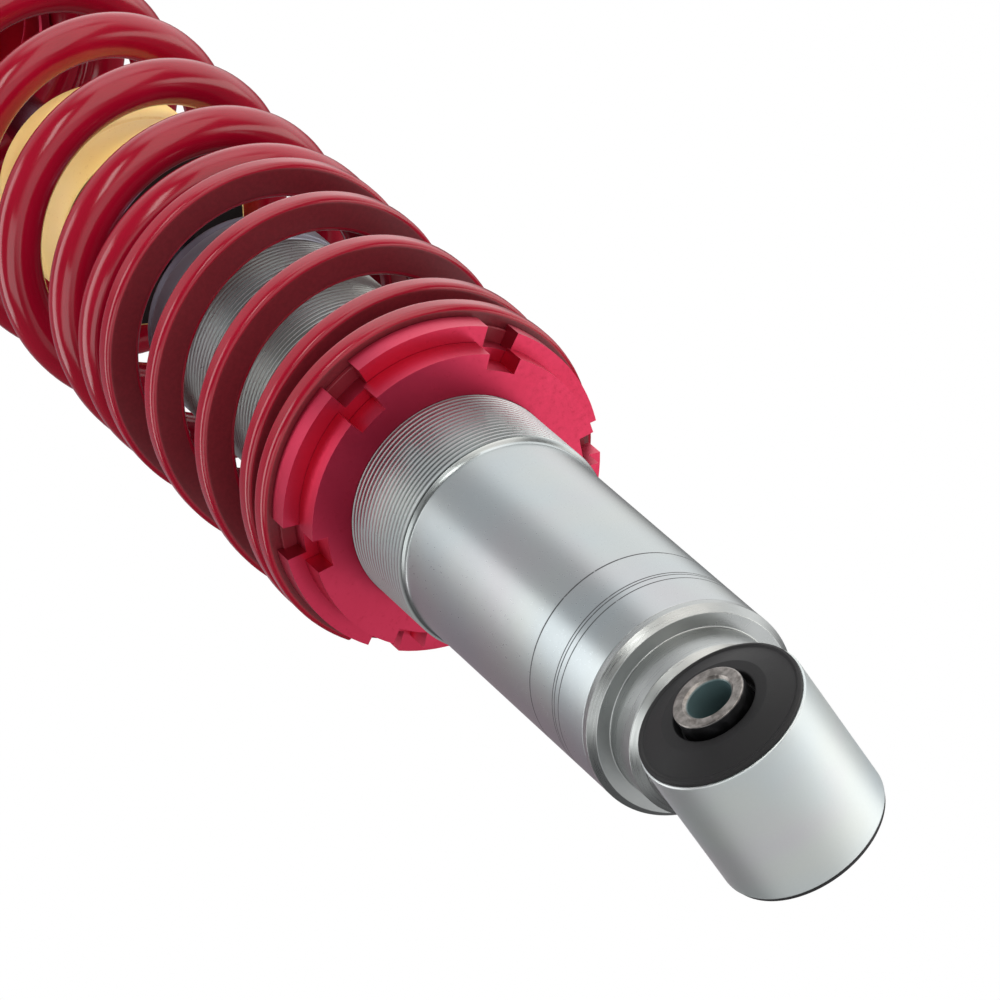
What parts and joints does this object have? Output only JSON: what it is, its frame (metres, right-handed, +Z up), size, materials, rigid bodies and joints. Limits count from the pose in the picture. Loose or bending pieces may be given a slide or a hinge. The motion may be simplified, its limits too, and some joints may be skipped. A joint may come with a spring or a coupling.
{
  "type": "coilover damper",
  "caption": "Threaded-body coilover: damper with a rubber-bushed lower eye, screw-adjusted spring platform and lock ring, helper and main springs, bump stop and pillow-ball top mount.",
  "frame": {"origin": "in the lower eye, where its bolt's axis crosses the damper's axis", "axes": "+Z up the damper towards the top mount; Y along the lower eye's bolt"},
  "size_m": [0.1, 0.1, 0.533],
  "materials": {
    "anodised_red": "satin red anodised aluminium",
    "spring_red": "gloss red powder coat on spring steel",
    "zinc_steel": "satin zinc-plated steel",
    "turned_steel": "turned bare steel",
    "plain_steel": "machined steel",
    "hard_chrome": "ground hard chrome",
    "grey_gland": "satin blue-grey coat",
    "dark_cap": "matt dark grey",
    "bush_rubber": "matt black rubber",
    "bump_foam": "cellular polyurethane, cream yellow",
    "nylon": "dark red nylon",
    "sinter": "sintered iron",
    "bronze_ptfe": "bronze and PTFE",
    "guide_alloy": "machined aluminium"
  },
  "bodies": {
    "eye_sleeve": {"eye_sleeve": "plain_steel"},
    "damper_body": {"body_tube": "zinc_steel", "bottom_cap": "turned_steel", "eye_housing": "zinc_steel", "eye_bush": "bush_rubber", "pressure_tube": "plain_steel", "base_valve": "sinter", "rod_guide": "guide_alloy", "guide_bush": "bronze_ptfe", "rod_seal": "bush_rubber", "gland_nut": "grey_gland", "dust_cap": "dark_cap", "helper_spring": "spring_red", "main_spring": "spring_red"},
    "spring_platform": {"slip_washer": "nylon"},
    "perch_ring": {"perch_ring": "anodised_red"},
    "lock_ring": {"lock_ring": "anodised_red"},
    "bump_stop": {"bump_stop": "bump_foam"},
    "rod_assembly": {"piston_rod": "hard_chrome", "piston": "sinter", "piston_band": "bronze_ptfe", "valve_shims": "plain_steel", "piston_nut": "plain_steel", "rebound_stop": "bush_rubber", "bump_washer": "plain_steel", "upper_seat": "anodised_red", "upper_isolator": "bush_rubber", "rod_spacer": "plain_steel", "pivot_ball": "hard_chrome", "rod_washer": "plain_steel", "rod_nut": "plain_steel"},
    "top_mount": {"bearing_race": "plain_steel", "race_circlip": "plain_steel", "mount_plate": "anodised_red", "mount_studs": "plain_steel"}
  },
  "joints": [
    {"name": "eye_twist", "type": "hinge", "parent": "eye_sleeve", "child": "damper_body", "pos_m": [0, 0, 0], "axis": [0, 1, 0], "range_deg": [-15, 15], "stiffness_Nm_per_rad": 170},
    {"name": "damper_stroke", "type": "slide", "parent": "damper_body", "child": "rod_assembly", "axis": [0, 0, 1], "range_m": [-0.1, 0], "stiffness_N_per_m": 60000, "springref_m": 0.005, "deforming": ["main_spring"]},
    {"name": "platform_height", "type": "slide", "parent": "damper_body", "child": "spring_platform", "axis": [0, 0, 1], "range_m": [0, 0.04], "deforming": ["helper_spring"]},
    {"name": "platform_turn", "type": "hinge", "parent": "spring_platform", "child": "perch_ring", "pos_m": [0, 0, 0.1595], "axis": [0, 0, 1], "range_deg": [0, 9600]},
    {"name": "lock_back_off", "type": "slide", "parent": "spring_platform", "child": "lock_ring", "axis": [0, 0, 1], "range_m": [-0.008, 0]},
    {"name": "bump_slide", "type": "slide", "parent": "damper_body", "child": "bump_stop", "axis": [0, 0, 1], "range_m": [-0.051, 0]},
    {"name": "mount_tilt", "type": "hinge", "parent": "rod_assembly", "child": "top_mount", "pos_m": [0, 0, 0.485], "axis": [0, 1, 0], "range_deg": [-8, 8]}
  ],
  "couplings": [
    {"joint": "platform_height", "follows": "platform_turn", "m_per_rad": 0.00023873}
  ]
}
